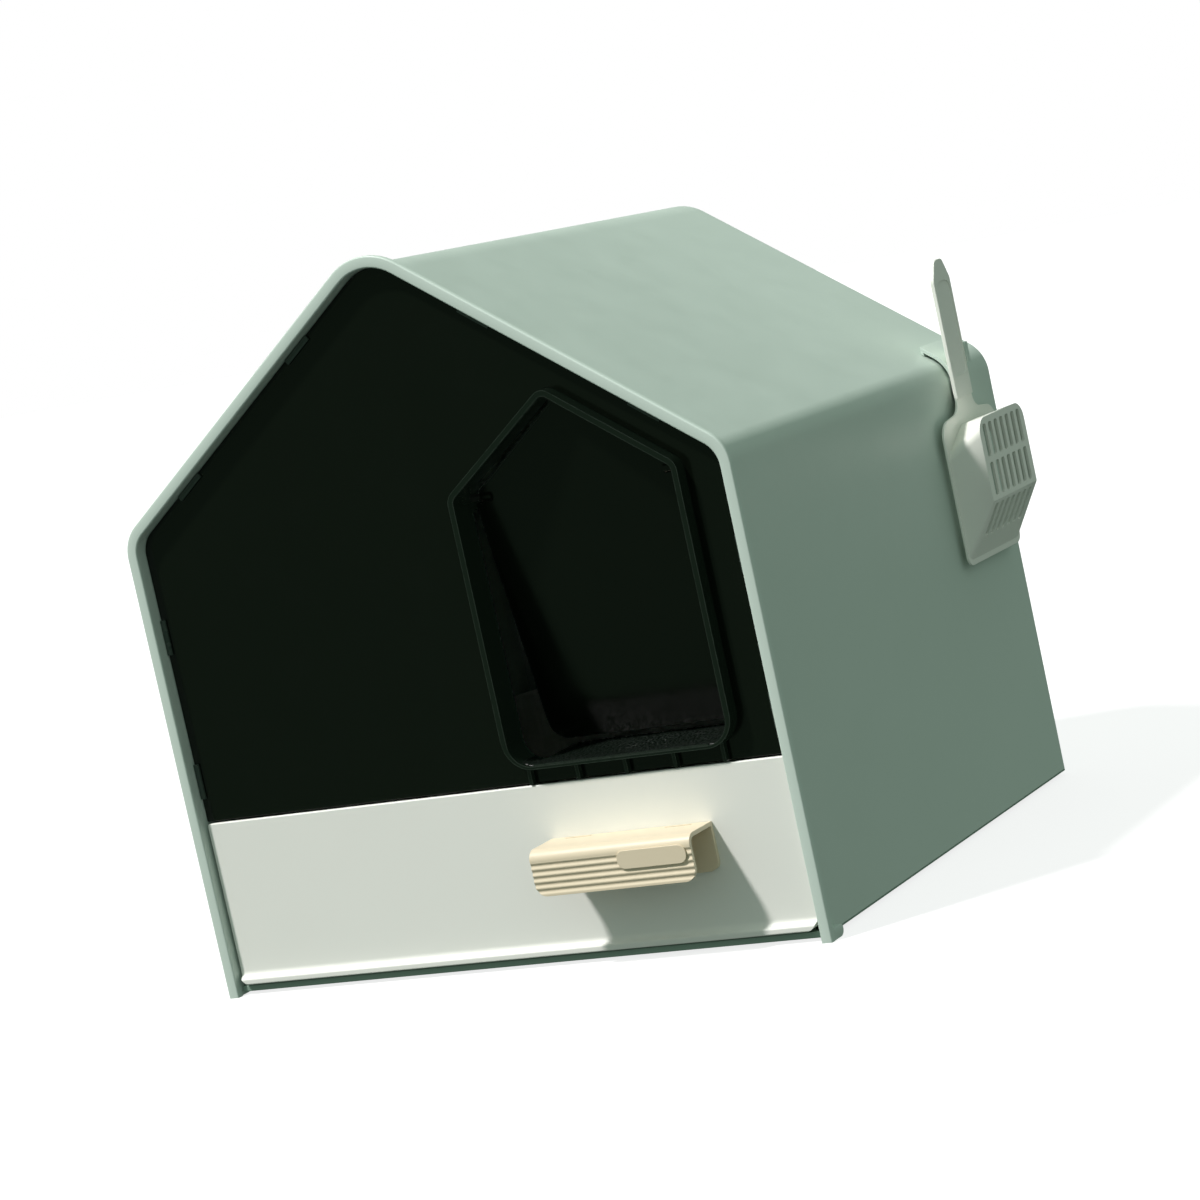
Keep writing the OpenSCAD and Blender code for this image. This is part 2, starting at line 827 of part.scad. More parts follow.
// The rim and the handle in one outline
module grip_outline(inset) {
    n = neck_w / 2 - inset;
    g = grip_w / 2 - inset;
    s = rim_half - inset;
    y = bowl_len;
    end = y + grip_len - inset;
    polygon(rounded([[-s, inset], [s, inset], [s, y - inset], [n, y + neck_rise - inset],
        [n, y + neck_len], [g, y + grip_len - grip_end], [g * end_share, end], [-g * end_share, end],
        [-g, y + grip_len - grip_end], [-n, y + neck_len], [-n, y + neck_rise - inset],
        [-s, y - inset]],
        [7, 7, 9, 12, 0, 8, 5, 5, 8, 0, 12, 9]));
}

module scoop_body() {
    difference() {
        union() {
            bowl_form(0, 0);
            linear_extrude(scoop_wall) grip_outline(0);
            linear_extrude(grip_d) difference() {
                grip_outline(0);
                translate([-scoop_w, -eps]) square([2 * scoop_w, bowl_len + lip_in + eps]);
            }
        }
        bowl_form(scoop_wall, eps);
        scoop_slots();
        translate([0, 0, grip_d - channel_d]) linear_extrude(grip_d) intersection() {
            grip_outline(scoop_wall);
            translate([-scoop_w, bowl_len + 2 * lip_in]) square([2 * scoop_w, grip_len]);
        }
    }
}

module scoop() {
    color(white) translate([holder_face + scoop_gap, hang_y, scoop_z]) rotate([90, 0, 90]) scoop_body();
}

hood_shell();
front_panel();
panel_clips_left();
panel_clips_right();
entry_frame();
sill_grip();
swing_flap();
pivot_left();
pivot_right();
base_pan();
foot_front_left();
foot_front_right();
foot_back_left();
foot_back_right();
rail_left();
rail_right();
drawer_tray();
drawer_handle();
label_plate();
scoop_holder();
holder_pegs();
scoop();
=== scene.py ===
import math

import bmesh
import bpy
from mathutils import Matrix, Vector, noise


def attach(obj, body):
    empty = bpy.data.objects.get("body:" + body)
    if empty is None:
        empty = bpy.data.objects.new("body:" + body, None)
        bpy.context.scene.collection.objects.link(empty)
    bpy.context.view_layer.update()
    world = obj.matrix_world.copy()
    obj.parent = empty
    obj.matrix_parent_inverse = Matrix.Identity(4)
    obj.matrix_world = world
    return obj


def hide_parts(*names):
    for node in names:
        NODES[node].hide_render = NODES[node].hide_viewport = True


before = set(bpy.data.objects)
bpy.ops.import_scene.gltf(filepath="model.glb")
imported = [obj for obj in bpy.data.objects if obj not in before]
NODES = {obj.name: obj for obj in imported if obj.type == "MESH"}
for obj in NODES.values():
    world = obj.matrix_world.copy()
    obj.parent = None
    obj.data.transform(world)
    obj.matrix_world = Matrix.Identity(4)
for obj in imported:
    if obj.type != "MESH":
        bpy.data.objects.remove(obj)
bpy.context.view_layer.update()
MM = 0.001

# Sizes of the hood in millimetres, as in the part's source. Other sizes stand at their pieces.
FRONT = -217.0
BACK = 217.0
DEPTH = 434
PITCH = math.radians(35.5)
LEAN = (1 - math.sin(PITCH)) / math.cos(PITCH)
WALL = 2.2
RIM_PROUD = 5.6
RIM_T = 5.0
SHELL_HALF = 230 - RIM_PROUD
SHELL_EAVE = 318.6 - RIM_PROUD * LEAN
SIDE_TAPER = 12.6
EAVE_DROP = 11.5
EAVE_R = 21
RIDGE_R = 36


def hood_half(y):
    """Half the hood's width behind its rim, which narrows to the back."""
    return SHELL_HALF - SIDE_TAPER * (y - FRONT) / DEPTH


def hood_eave(y):
    """Height where wall and roof would meet without rounding, which falls to the back."""
    return SHELL_EAVE - EAVE_DROP * (y - FRONT) / DEPTH


# Outlines


def corner(a, b, c, r, n):
    """Points of the corner at b rounded to the radius r."""
    a, b, c = Vector(a), Vector(b), Vector(c)
    if r <= 0:
        return [b.copy()]
    u, v = (a - b).normalized(), (c - b).normalized()
    half = math.acos(max(-1, min(1, u.dot(v)))) / 2
    mid = b + (u + v).normalized() * r / math.sin(half)
    start = b + u * r / math.tan(half) - mid
    end = b + v * r / math.tan(half) - mid
    turn = math.atan2(start.x * end.y - start.y * end.x, start.dot(end))
    a0 = math.atan2(start.y, start.x)
    return [mid + r * Vector((math.cos(a0 + turn * i / n), math.sin(a0 + turn * i / n)))
            for i in range(n + 1)]


def rounded(points, radii, n=10):
    """A closed outline with a radius at each of its points."""
    m = len(points)
    out = []
    for i in range(m):
        out += corner(points[i - 1], points[i], points[(i + 1) % m], radii[i], n)
    return out


def hood_path(y, inset, bottom, n=12):
    """The hood's section at y moved in, from its lower left end over the ridge to the right."""
    w, e = hood_half(y) - inset, hood_eave(y) - inset * LEAN
    top = e + w * math.tan(PITCH)
    r_eave, r_ridge = max(EAVE_R - inset, 1), max(RIDGE_R - inset, 1)
    pts = [Vector((-w, bottom))]
    pts += corner((-w, bottom), (-w, e), (0, top), r_eave, n)
    pts += corner((-w, e), (0, top), (w, e), r_ridge, n)
    pts += corner((0, top), (w, e), (w, bottom), r_eave, n)
    pts.append(Vector((w, bottom)))
    return pts


def inset_points(points, d):
    """A closed convex outline moved in by a small distance towards its middle."""
    if d == 0:
        return points
    mid = sum(points, Vector((0, 0))) / len(points)
    return [p + (mid - p).normalized() * d for p in points]


# Meshes

# Metres within which points are welded: in a new mesh, before and after the rounding of edges
SAME_POINT, WELD_FIRST, WELD_LAST = 0.00001, 0.00002, 0.000008


def link(name, mesh, smooth_angle=32):
    obj = bpy.data.objects.new(name, mesh)
    bpy.context.scene.collection.objects.link(obj)
    smooth(mesh, smooth_angle)
    return obj


def smooth(mesh, angle):
    """Smooth shading, with edges sharper than the angle in degrees kept sharp."""
    bm = bmesh.new()
    bm.from_mesh(mesh)
    bmesh.ops.remove_doubles(bm, verts=bm.verts, dist=SAME_POINT)
    bmesh.ops.recalc_face_normals(bm, faces=bm.faces)
    limit = math.radians(angle)
    for f in bm.faces:
        f.smooth = True
    for e in bm.edges:
        e.smooth = len(e.link_faces) == 2 and e.calc_face_angle(0) < limit
    bm.to_mesh(mesh)
    bm.free()


class Shell:
    """Collects points in millimetres and faces of one mesh."""

    def __init__(self):
        self.verts, self.faces = [], []

    def add(self, points):
        first = len(self.verts)
        self.verts += [Vector(p) * MM for p in points]
        return list(range(first, len(self.verts)))

    def strip(self, rings, closed=False):
        """Quads between neighbouring rings of equal length; closed joins each ring's ends."""
        for a, b in zip(rings, rings[1:]):
            n = len(a)
            for i in range(n if closed else n - 1):
                j = (i + 1) % n
                self.faces.append((a[i], a[j], b[j], b[i]))

    def face(self, ids):
        self.faces.append(tuple(ids))

    def box(self, lo, hi):
        v = self.add([(x, y, z) for x in (lo[0], hi[0]) for y in (lo[1], hi[1])
                      for z in (lo[2], hi[2])])
        for f in ((0, 1, 3, 2), (4, 6, 7, 5), (0, 4, 5, 1), (2, 3, 7, 6), (0, 2, 6, 4),
                  (1, 5, 7, 3)):
            self.face([v[i] for i in f])

    def object(self, name, smooth_angle=32):
        mesh = bpy.data.meshes.new(name)
        mesh.from_pydata([tuple(v) for v in self.verts], [], self.faces)
        mesh.validate()
        return link(name, mesh, smooth_angle)


def upright(points, y):
    """Points of an outline in X and Z stood up at y."""
    return [(p[0], y, p[1]) for p in points]


def plate(name, outline, thick, bevel, lift=0, n=2):
    """A flat plate with rounded edges from a closed outline in X and Y, its underside at lift."""
    curve = bpy.data.curves.new(name, "CURVE")
    curve.dimensions = "2D"
    curve.fill_mode = "BOTH"
    curve.extrude = (thick / 2 - bevel) * MM
    curve.bevel_depth = bevel * MM
    curve.bevel_resolution = n
    curve.offset = -bevel * MM
    line = curve.splines.new("POLY")
    line.points.add(len(outline) - 1)
    for p, q in zip(line.points, outline):
        p.co = (q[0] * MM, q[1] * MM, 0, 1)
    line.use_cyclic_u = True
    temp = bpy.data.objects.new(name + "_curve", curve)
    mesh = bpy.data.meshes.new_from_object(temp)
    bpy.data.objects.remove(temp)
    bpy.data.curves.remove(curve)
    mesh.name = name
    for up in (thick / 2, lift):
        mesh.transform(Matrix.Translation((0, 0, up * MM)))
    return link(name, mesh)


def join(target, parts, operation):
    """Adds parts to a mesh or cuts them from it, and removes them."""
    for part in parts:
        mod = target.modifiers.new("cut", "BOOLEAN")
        mod.operation = operation
        mod.solver = "EXACT"
        mod.object = part
    bpy.context.view_layer.update()
    done = target.evaluated_get(bpy.context.evaluated_depsgraph_get())
    mesh = bpy.data.meshes.new_from_object(done)
    target.modifiers.clear()
    old = target.data
    target.data = mesh
    bpy.data.meshes.remove(old)
    for part in parts:
        data = part.data
        bpy.data.objects.remove(part)
        bpy.data.meshes.remove(data)


def modify(obj, width, segments=3, angle=28, flatten=True, clean=False):
    """Edges sharper than the angle rounded to the width, and even shading, by modifiers alone.

    flatten first joins faces that lie in one plane. clean welds points that the rounding
    brings together.
    """
    weld = obj.modifiers.new("weld", "WELD")
    weld.merge_threshold = WELD_FIRST
    if flatten:
        flat = obj.modifiers.new("flat", "DECIMATE")
        flat.decimate_type = "DISSOLVE"
        flat.angle_limit = math.radians(0.6)
    bevel = obj.modifiers.new("bevel", "BEVEL")
    bevel.width = width * MM
    bevel.segments = segments
    bevel.limit_method = "ANGLE"
    bevel.angle_limit = math.radians(angle)
    bevel.harden_normals = True
    if clean:
        merge = obj.modifiers.new("clean", "WELD")
        merge.merge_threshold = WELD_LAST
    even = obj.modifiers.new("even", "WEIGHTED_NORMAL")
    even.keep_sharp = True


# Materials: strengths of the mottling, scales of the noises in waves per metre, metres of relief

MOTTLED, SPECKLED = 0.25, 0.22
CLOUDS, SPECKS, SCUFF_AND_HIGHLIGHT_PATCHES, SHEEN, WAVES = 14, 900, 160, 30, 9
EDGE_WIDTH, GRAIN_DEPTH, WAVE_DEPTH = 0.0012, 0.0002, 0.0015


def plastic(name, colour, shade, rough, grain=0.12, grain_mm=0.6, edge_wear_and_highlight=0.25, edge_wear_and_highlight_colour=None,
            specular=0.5, painted_glow=0.0, patches=(0.42, 0.66)):
    """A moulded plastic: mottled colour, uneven gloss, fine grain and lightened edges.

    The edges are lightened as strongly as edge_wear_and_highlight where a noise is above the
    patches' upper limit, and not at all where it is below their lower one. On most plastics this is
    wear; on the frame it is a painted highlight.
    """
    mat = bpy.data.materials.new(name)
    mat.use_nodes = True
    nodes, links = mat.node_tree.nodes, mat.node_tree.links
    shader = nodes["Principled BSDF"]
    shader.inputs["Specular IOR Level"].default_value = specular
    # painted_glow makes the surface glow in its own colour: painted light, used on the frame alone
    shader.inputs["Emission Color"].default_value = (*colour, 1)
    shader.inputs["Emission Strength"].default_value = painted_glow
    where = nodes.new("ShaderNodeTexCoord").outputs["Object"]

    def cloud(scale, detail, roughness=0.55):
        """A noise with a scale in waves per metre."""
        n = nodes.new("ShaderNodeTexNoise")
        n.inputs["Scale"].default_value = scale
        n.inputs["Detail"].default_value = detail
        n.inputs["Roughness"].default_value = roughness
        links.new(where, n.inputs["Vector"])
        return n.outputs["Fac"]

    def spread(value, *limits):
        """The value mapped from the first two limits to the last two."""
        n = nodes.new("ShaderNodeMapRange")
        for i, x in enumerate(limits):
            n.inputs[i + 1].default_value = x
        links.new(value, n.inputs[0])
        return n.outputs[0]

    def mix(fac, a, b):
        n = nodes.new("ShaderNodeMix")
        n.data_type = "RGBA"
        links.new(fac, n.inputs[0])
        for socket, x in ((n.inputs[6], a), (n.inputs[7], b)):
            if isinstance(x, tuple):
                socket.default_value = (*x, 1)
            else:
                links.new(x, socket)
        return n.outputs[2]

    def bump(strength, distance, height, below=None):
        n = nodes.new("ShaderNodeBump")
        n.inputs["Strength"].default_value = strength
        n.inputs["Distance"].default_value = distance
        links.new(height, n.inputs["Height"])
        if below is not None:
            links.new(below, n.inputs["Normal"])
        return n.outputs[0]

    base = mix(spread(cloud(CLOUDS, 4), 0.35, 0.7, 0, MOTTLED), colour, shade)
    base = mix(spread(cloud(SPECKS, 2), 0.56, 0.72, 0, SPECKLED * MOTTLED), base, shade)
    # Edges lightened in noisy patches: wear on most plastics, a painted highlight on the frame
    edge = nodes.new("ShaderNodeBevel")
    edge.samples = 4
    edge.inputs["Radius"].default_value = EDGE_WIDTH
    geometry = nodes.new("ShaderNodeNewGeometry")
    dot = nodes.new("ShaderNodeVectorMath")
    dot.operation = "DOT_PRODUCT"
    links.new(edge.outputs[0], dot.inputs[0])
    links.new(geometry.outputs["Normal"], dot.inputs[1])
    edge_wear_and_highlight_mask = nodes.new("ShaderNodeMath")
    edge_wear_and_highlight_mask.operation = "MULTIPLY"
    links.new(spread(dot.outputs["Value"], 0.995, 0.8, 0, 1), edge_wear_and_highlight_mask.inputs[0])
    links.new(spread(cloud(SCUFF_AND_HIGHLIGHT_PATCHES, 4), *patches, 0, edge_wear_and_highlight), edge_wear_and_highlight_mask.inputs[1])
    light = edge_wear_and_highlight_colour or tuple(min(1, c * 1.25 + 0.04) for c in colour)
    links.new(mix(edge_wear_and_highlight_mask.outputs[0], base, light), shader.inputs["Base Color"])
    gloss = spread(cloud(SHEEN, 5, 0.6), 0.3, 0.7, rough - 0.05, rough + 0.06)
    links.new(gloss, shader.inputs["Roughness"])
    fine = bump(grain, GRAIN_DEPTH, cloud(1000 / grain_mm, 2))
    wavy = bump(0.05, WAVE_DEPTH, cloud(WAVES, 2), fine)
    links.new(wavy, shader.inputs["Normal"])
    return mat


MINT = plastic("mint_plastic", (0.607, 0.706, 0.638), (0.578, 0.677, 0.609), 0.42, grain=0.1)
# The base pan is a darker mint than the hood: painted shade for its front strip under the drawer's
# lip
BASE_PAINTED_SHADE = plastic("base_plastic_painted_shade", (0.25, 0.35, 0.285), (0.22, 0.315, 0.255), 0.45, grain=0.1)
SMOKE = plastic("smoke_plastic", (0.0022, 0.0036, 0.002), (0.003, 0.0046, 0.0026), 0.16,
                grain=0.02, edge_wear_and_highlight=0.3, edge_wear_and_highlight_colour=(0.03, 0.038, 0.03), specular=0.45)
# The frame's strongly lightened edges are a painted highlight along them
FRAME = plastic("frame_plastic", (0.0036, 0.0068, 0.0042), (0.0045, 0.008, 0.005), 0.14,
                grain=0.03, edge_wear_and_highlight=0.55, edge_wear_and_highlight_colour=(0.062, 0.076, 0.064), painted_glow=0.35,
                patches=(0.2, 0.5))
CLIP = plastic("clip_plastic", (0.04, 0.058, 0.048), (0.05, 0.068, 0.056), 0.3, grain=0.03)
WHITE = plastic("white_plastic", (0.86, 0.865, 0.81), (0.83, 0.835, 0.78), 0.42, grain=0.09)
CREAM = plastic("cream_plastic", (0.765, 0.662, 0.488), (0.735, 0.63, 0.45), 0.42)
GRIP = plastic("grip_rubber", (0.003, 0.006, 0.0038), (0.006, 0.01, 0.007), 0.36, grain=0.3,
               grain_mm=1.2, specular=0.35)
RUBBER = plastic("foot_rubber", (0.012, 0.012, 0.012), (0.02, 0.02, 0.02), 0.7, grain=0.3)
RAIL = plastic("rail_plastic", (0.6, 0.6, 0.57), (0.52, 0.52, 0.5), 0.4)
PIN = plastic("pin_plastic", (0.02, 0.023, 0.02), (0.03, 0.033, 0.03), 0.3)
SCOOP = plastic("scoop_plastic", (0.91, 0.91, 0.845), (0.88, 0.88, 0.815), 0.34, grain=0.1)

FINISH = {
    "hood_shell": MINT, "base_pan": BASE_PAINTED_SHADE, "scoop_holder": MINT, "holder_pegs": MINT,
    "front_panel": SMOKE, "panel_clips_left": CLIP, "panel_clips_right": CLIP,
    "entry_frame": FRAME, "swing_flap": SMOKE, "sill_grip": GRIP, "drawer_tray": WHITE,
    "drawer_handle": CREAM, "label_plate": CREAM, "scoop": SCOOP, "rail_left": RAIL,
    "rail_right": RAIL, "pivot_left": PIN, "pivot_right": PIN, "foot_front_left": RUBBER,
    "foot_front_right": RUBBER, "foot_back_left": RUBBER, "foot_back_right": RUBBER,
}


def paint(obj, mat):
    obj.data.materials.clear()
    obj.data.materials.append(mat)


for name, mat in FINISH.items():
    for slot in NODES[name].material_slots:
        slot.material = mat

# Hood: the height of the shell's lower edge, the roundings of rim and back, and the toes

SKIRT = 4.2
RIM_EDGE = 1.2
RIM_BACK_EDGE = 0.8
RIM_FILLET, RIM_FILLET_MID = 1.2, 0.35
BACK_R = 4.0
BACK_INNER_R, BACK_INNER_MID = 3, 0.9
TOE_FROM, TOE_TO, TOE_HIGH = FRONT + 2, FRONT + 19, 7.5
TOE_FLOOR_R, TOE_TOP_R = 4.6, 2.5
TOE_SECTIONS = ((223.4, 0), (229.3, 0), (229.6, 0.12), (229.75, 0.4))


def quarter(y0, i0, y1, i1, flat_first):
    """Points (y, inset) inside a quarter turn that leaves along y first or along the inset."""
    out = []
    for k in range(1, 4):
        t = math.radians(22.5 * k)
        near, far = 1 - math.cos(t), math.sin(t)
        fy, fi = (far, near) if flat_first else (near, far)
        out.append((y0 + (y1 - y0) * fy, i0 + (i1 - i0) * fi))
    return out


def rim_profile():
    """Points (y, inset) round the rim, from the wall's inside over the front to its back."""
    y, edge, back, behind = FRONT, RIM_EDGE, RIM_BACK_EDGE, FRONT + RIM_T
    out = [(behind, WALL), (y + edge, WALL)]
    out += quarter(y + edge, WALL, y, WALL - edge, True)
    out += [(y, WALL - edge), (y, edge - RIM_PROUD)]
    out += quarter(y, edge - RIM_PROUD, y + edge, -RIM_PROUD, False)
    out += [(y + edge, -RIM_PROUD), (behind - back, -RIM_PROUD)]
    out += quarter(behind - back, -RIM_PROUD, behind, back - RIM_PROUD, True)
    return out + [(behind, back - RIM_PROUD), (behind, -RIM_FILLET)]


def build_hood():
    """The hood from sections through wall and rim, closed at its back, with two toes."""
    s = Shell()

    def ring(y, inset, foot=False):
        """A section, which reaches down to the floor where the rim has a foot."""
        path = upright(hood_path(y, inset, SKIRT), y)
        if foot:
            path = [(path[0][0], y, 0)] + path + [(path[-1][0], y, 0)]
        return s.add(path)

    rim = [ring(y, i, True) for y, i in rim_profile()]
    s.strip(rim)
    behind = FRONT + RIM_T
    fillet = [ring(behind + RIM_FILLET_MID, -RIM_FILLET_MID), ring(behind + RIM_FILLET, 0)]
    s.strip([rim[-1][1:-1]] + fillet)
    turn = [(BACK - BACK_R * (1 - math.sin(math.radians(a))),
             BACK_R * (1 - math.cos(math.radians(a)))) for a in range(0, 91, 15)]
    outer = [ring(y, i) for y, i in turn]
    s.strip([fillet[-1]] + outer)
    back = BACK - WALL
    inner = [ring(back, WALL + BACK_INNER_R), ring(back - BACK_INNER_MID, WALL + BACK_INNER_MID),
             ring(back - BACK_INNER_R, WALL)]
    s.strip(inner + [rim[0][1:-1]])
    s.face(inner[0])
    s.face(outer[-1])
    for k, m in ((0, 1), (-1, -2)):
        s.face([x[k] for x in rim])
        s.face([rim[0][k], rim[0][m], fillet[0][k], rim[-1][m], rim[-1][k]])
        s.face([rim[0][m]] + [x[k] for x in fillet + outer + inner])
    s.face([inner[0][0], outer[-1][0], outer[-1][-1], inner[0][-1]])
    toe = rounded([(TOE_FROM, 0.0), (TOE_TO, 0.0), (TOE_TO, TOE_HIGH), (TOE_FROM, TOE_HIGH)],
                  [0, TOE_FLOOR_R, TOE_TOP_R, 0], 8)
    for side in (-1, 1):
        rings = [s.add([(side * x, p[0], p[1]) for p in inset_points(toe, d)])
                 for x, d in TOE_SECTIONS]
        s.strip(rings, closed=True)
        s.face(rings[0])
        s.face(rings[-1])
    return s


# Entrance: the pebbled pad on the sill

PANEL_Y = FRONT + 9.6
DOOR_MARGIN, DOOR_HALF, DOOR_R, DOOR_FACE = 29.6, 84, 20, 4
DOOR_X = hood_half(PANEL_Y) - WALL - DOOR_MARGIN - DOOR_HALF
SILL = 134.0
PAD_STEP = 0.6
# The pad is wider in front of the tunnel, as far as the rounded corners allow
PAD_FROM, PAD_TO, PAD_TUNNEL = FRONT + 3.3, FRONT + 63.7, FRONT + 21
PAD_HALF, PAD_TUNNEL_HALF = 73.0, 63.7
PAD_SUNK, PAD_UNDER, PAD_SKIN = 0.9, 0.98, 0.25
PEBBLE_PITCH, PEBBLE_R, PEBBLE_HIGH, PEBBLE_SLICE = 2.1, 0.72, 0.95, 3.7


def close_below(s, top, below):
    """Closes a grid of cells with a skirt and a flat underside, given its ids and low points."""
    last = {}
    for i, j in top:
        last[i] = max(last.get(i, 0), j)
    columns = max(last)
    cells = [0] + [min(last[i], last[i + 1]) for i in range(columns)] + [0]
    low = {}

    def under(i, j):
        if (i, j) not in low:
            low[i, j] = s.add([below(i, j)])[0]
        return low[i, j]

    def line(i, mine, other):
        """Low points along a line of a column, with every point only where it is a border."""
        shared = min(mine, other)
        return [under(i, 0)] * (shared > 0) + [under(i, j) for j in range(shared, mine + 1)]

    for i in range(columns + 1):
        a, b = cells[i], cells[i + 1]
        for j in range(min(a, b), max(a, b)):
            s.face([top[i, j], top[i, j + 1], under(i, j + 1), under(i, j)])
    for i in range(columns):
        n = cells[i + 1]
        s.face(line(i, n, cells[i]) + line(i + 1, n, cells[i + 2])[::-1])
        for j in (0, n):
            s.face([top[i, j], top[i + 1, j], under(i + 1, j), under(i, j)])


def build_tread():
    """The pebbled pad, which climbs a little way up the rounded corners before the tunnel."""
    s = Shell()
    arc = DOOR_R - DOOR_FACE

    def lift(x):
        over = max(0.0, abs(x) - (DOOR_HALF - DOOR_R))
        return arc - math.sqrt(arc * arc - over * over)

    columns = int(2 * PAD_HALF / PAD_STEP)
    ids = {}
    for j in range(int((PAD_TO - PAD_FROM) / PAD_STEP) + 1):
        y = PAD_FROM + j * PAD_STEP
        for i in range(columns + 1):
            x = -PAD_HALF + i * PAD_STEP
            if abs(x) > PAD_TUNNEL_HALF and y > PAD_TUNNEL:
                continue
            spot = Vector((x / PEBBLE_PITCH, y / PEBBLE_PITCH, PEBBLE_SLICE))
            bump = max(0.0, 1 - (noise.voronoi(spot)[0][0] / PEBBLE_R) ** 2)
            border = min(1.0, j / 2, (PAD_TO - y) / 1.2)
            z = SILL - PAD_SUNK + lift(x) + border * (PAD_SKIN + PEBBLE_HIGH * bump)
            ids[i, j] = s.add([(DOOR_X + x, y, z)])[0]
    for i, j in ids:
        cell = [(i, j), (i + 1, j), (i + 1, j + 1), (i, j + 1)]
        if all(c in ids for c in cell):
            s.face([ids[c] for c in cell])
    close_below(s, ids, lambda i, j: (DOOR_X - PAD_HALF + i * PAD_STEP, PAD_FROM + j * PAD_STEP,
                                      SILL - PAD_UNDER + lift(-PAD_HALF + i * PAD_STEP)))
    return s


tread = build_tread().object("tread_form", smooth_angle=70)
paint(tread, GRIP)
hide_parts("sill_grip")
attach(tread, "house")

# Drawer handle: a plate on the drawer's face, a top with two snap slots and a rippled front

FACE_Y = FRONT + 6.5
HANDLE_X = DOOR_X - 6.3
HANDLE_HALF = 58.5
HANDLE_FRONT, HANDLE_LOW, HANDLE_TOP = FACE_Y - 34, 54.0, 84.0
HANDLE_WALL, HANDLE_R, HANDLE_CORNER_R = 2.8, 7.0, 8
PLATE_LOW, PLATE_HIGH, PLATE_CORNER_R = 52, 28, 6
SNAP_X = (-46.5, -27.0, 27.0, 46.5)
SNAP_Y = (FACE_Y - HANDLE_WALL - 0.5, FACE_Y - HANDLE_WALL - 2.7)
GROOVE_PITCH, GROOVE_DEEP = 4.2, 0.7
GROOVES = [57.36 + GROOVE_PITCH * i for i in range(6)]
PLATE_ROWS, BEND_ROWS, FRONT_ROWS = 14, 12, 84


def handle_half(low, r, z):
    """Half length of a plate of the handle at a height, with its lower corners rounded."""
    up = r - (z - low)
    return HANDLE_HALF - (r - math.sqrt(r * r - up * up) if up > 0 else 0)


def handle_rows():
    """Rows (outer point, inner point, half length) of the section, and the slots' first row."""
    wall, top, r = HANDLE_WALL, HANDLE_TOP, HANDLE_R
    rows = []
    for k in range(PLATE_ROWS + 1):
        z = PLATE_LOW + PLATE_HIGH * k / PLATE_ROWS
        rows.append(((FACE_Y, z), (FACE_Y - wall, z), handle_half(PLATE_LOW, PLATE_CORNER_R, z)))
    # Where the plate turns into the top, rounded on both sides
    rows.append(((FACE_Y, top - 1.6), (FACE_Y - wall, top - wall - 0.4), HANDLE_HALF))
    rows.append(((FACE_Y - 0.5, top - 0.15), (FACE_Y - wall - 0.2, top - wall), HANDLE_HALF))
    slot_row = len(rows)
    for y in (*SNAP_Y, FACE_Y - 10, FACE_Y - 18):
        rows.append(((y, top), (y, top - wall), HANDLE_HALF))
    mid = (HANDLE_FRONT + r, top - r)
    for k in range(BEND_ROWS + 1):
        a = math.radians(90 * k / BEND_ROWS)
        outer, inner = ((mid[0] - q * math.sin(a), mid[1] + q * math.cos(a)) for q in (r, r - wall))
        rows.append((outer, inner, HANDLE_HALF))
    for k in range(1, FRONT_ROWS + 1):
        z = top - r - (top - r - HANDLE_LOW) * k / FRONT_ROWS
        near = min(abs(z - g) for g in GROOVES) / (GROOVE_PITCH / 2)
        dip = GROOVE_DEEP * (1 + math.cos(math.pi * min(1, near))) / 2
        fade = min(1, (z - HANDLE_LOW) / 1.5, (top - r + 1.5 - z) / 2)
        rows.append(((HANDLE_FRONT + dip * fade, z), (HANDLE_FRONT + wall, z),
                     handle_half(HANDLE_LOW, HANDLE_CORNER_R, z)))
    return rows, slot_row


def build_handle():
    """The handle in five columns, of which the second and the fourth have a slot."""
    s = Shell()
    rows, slot_row = handle_rows()
    outer, inner = ([s.add([(HANDLE_X + x, row[n][0], row[n][1])
                            for x in (-row[2], *SNAP_X, row[2])]) for row in rows] for n in (0, 1))
    columns, slotted = range(len(SNAP_X) + 1), (1, 3)
    for side in (outer, inner):
        for k in range(len(rows) - 1):
            for c in columns:
                if k == slot_row and c in slotted:
                    continue
                a, b = side[k], side[k + 1]
                s.face([a[c], a[c + 1], b[c + 1], b[c]])
    for k in range(len(rows) - 1):
        for c in (0, -1):
            s.face([outer[k][c], outer[k + 1][c], inner[k + 1][c], inner[k][c]])
    for k in (0, -1):
        for c in columns:
            s.face([outer[k][c], outer[k][c + 1], inner[k][c + 1], inner[k][c]])
    for c in slotted:
        a, b, e, f = outer[slot_row], outer[slot_row + 1], inner[slot_row], inner[slot_row + 1]
        for p, q, u, v in ((a[c], a[c + 1], e[c], e[c + 1]), (b[c], b[c + 1], f[c], f[c + 1]),
                           (a[c], b[c], e[c], f[c]), (a[c + 1], b[c + 1], e[c + 1], f[c + 1])):
            s.face([p, q, v, u])
    return s


handle = build_handle().object("handle_form", smooth_angle=40)
paint(handle, CREAM)
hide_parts("drawer_handle")
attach(handle, "drawer")
modify(handle, 0.5, angle=50, flatten=False)

# Scoop, drawn with its rim plane on the ground and its slotted face up as in the CAD source

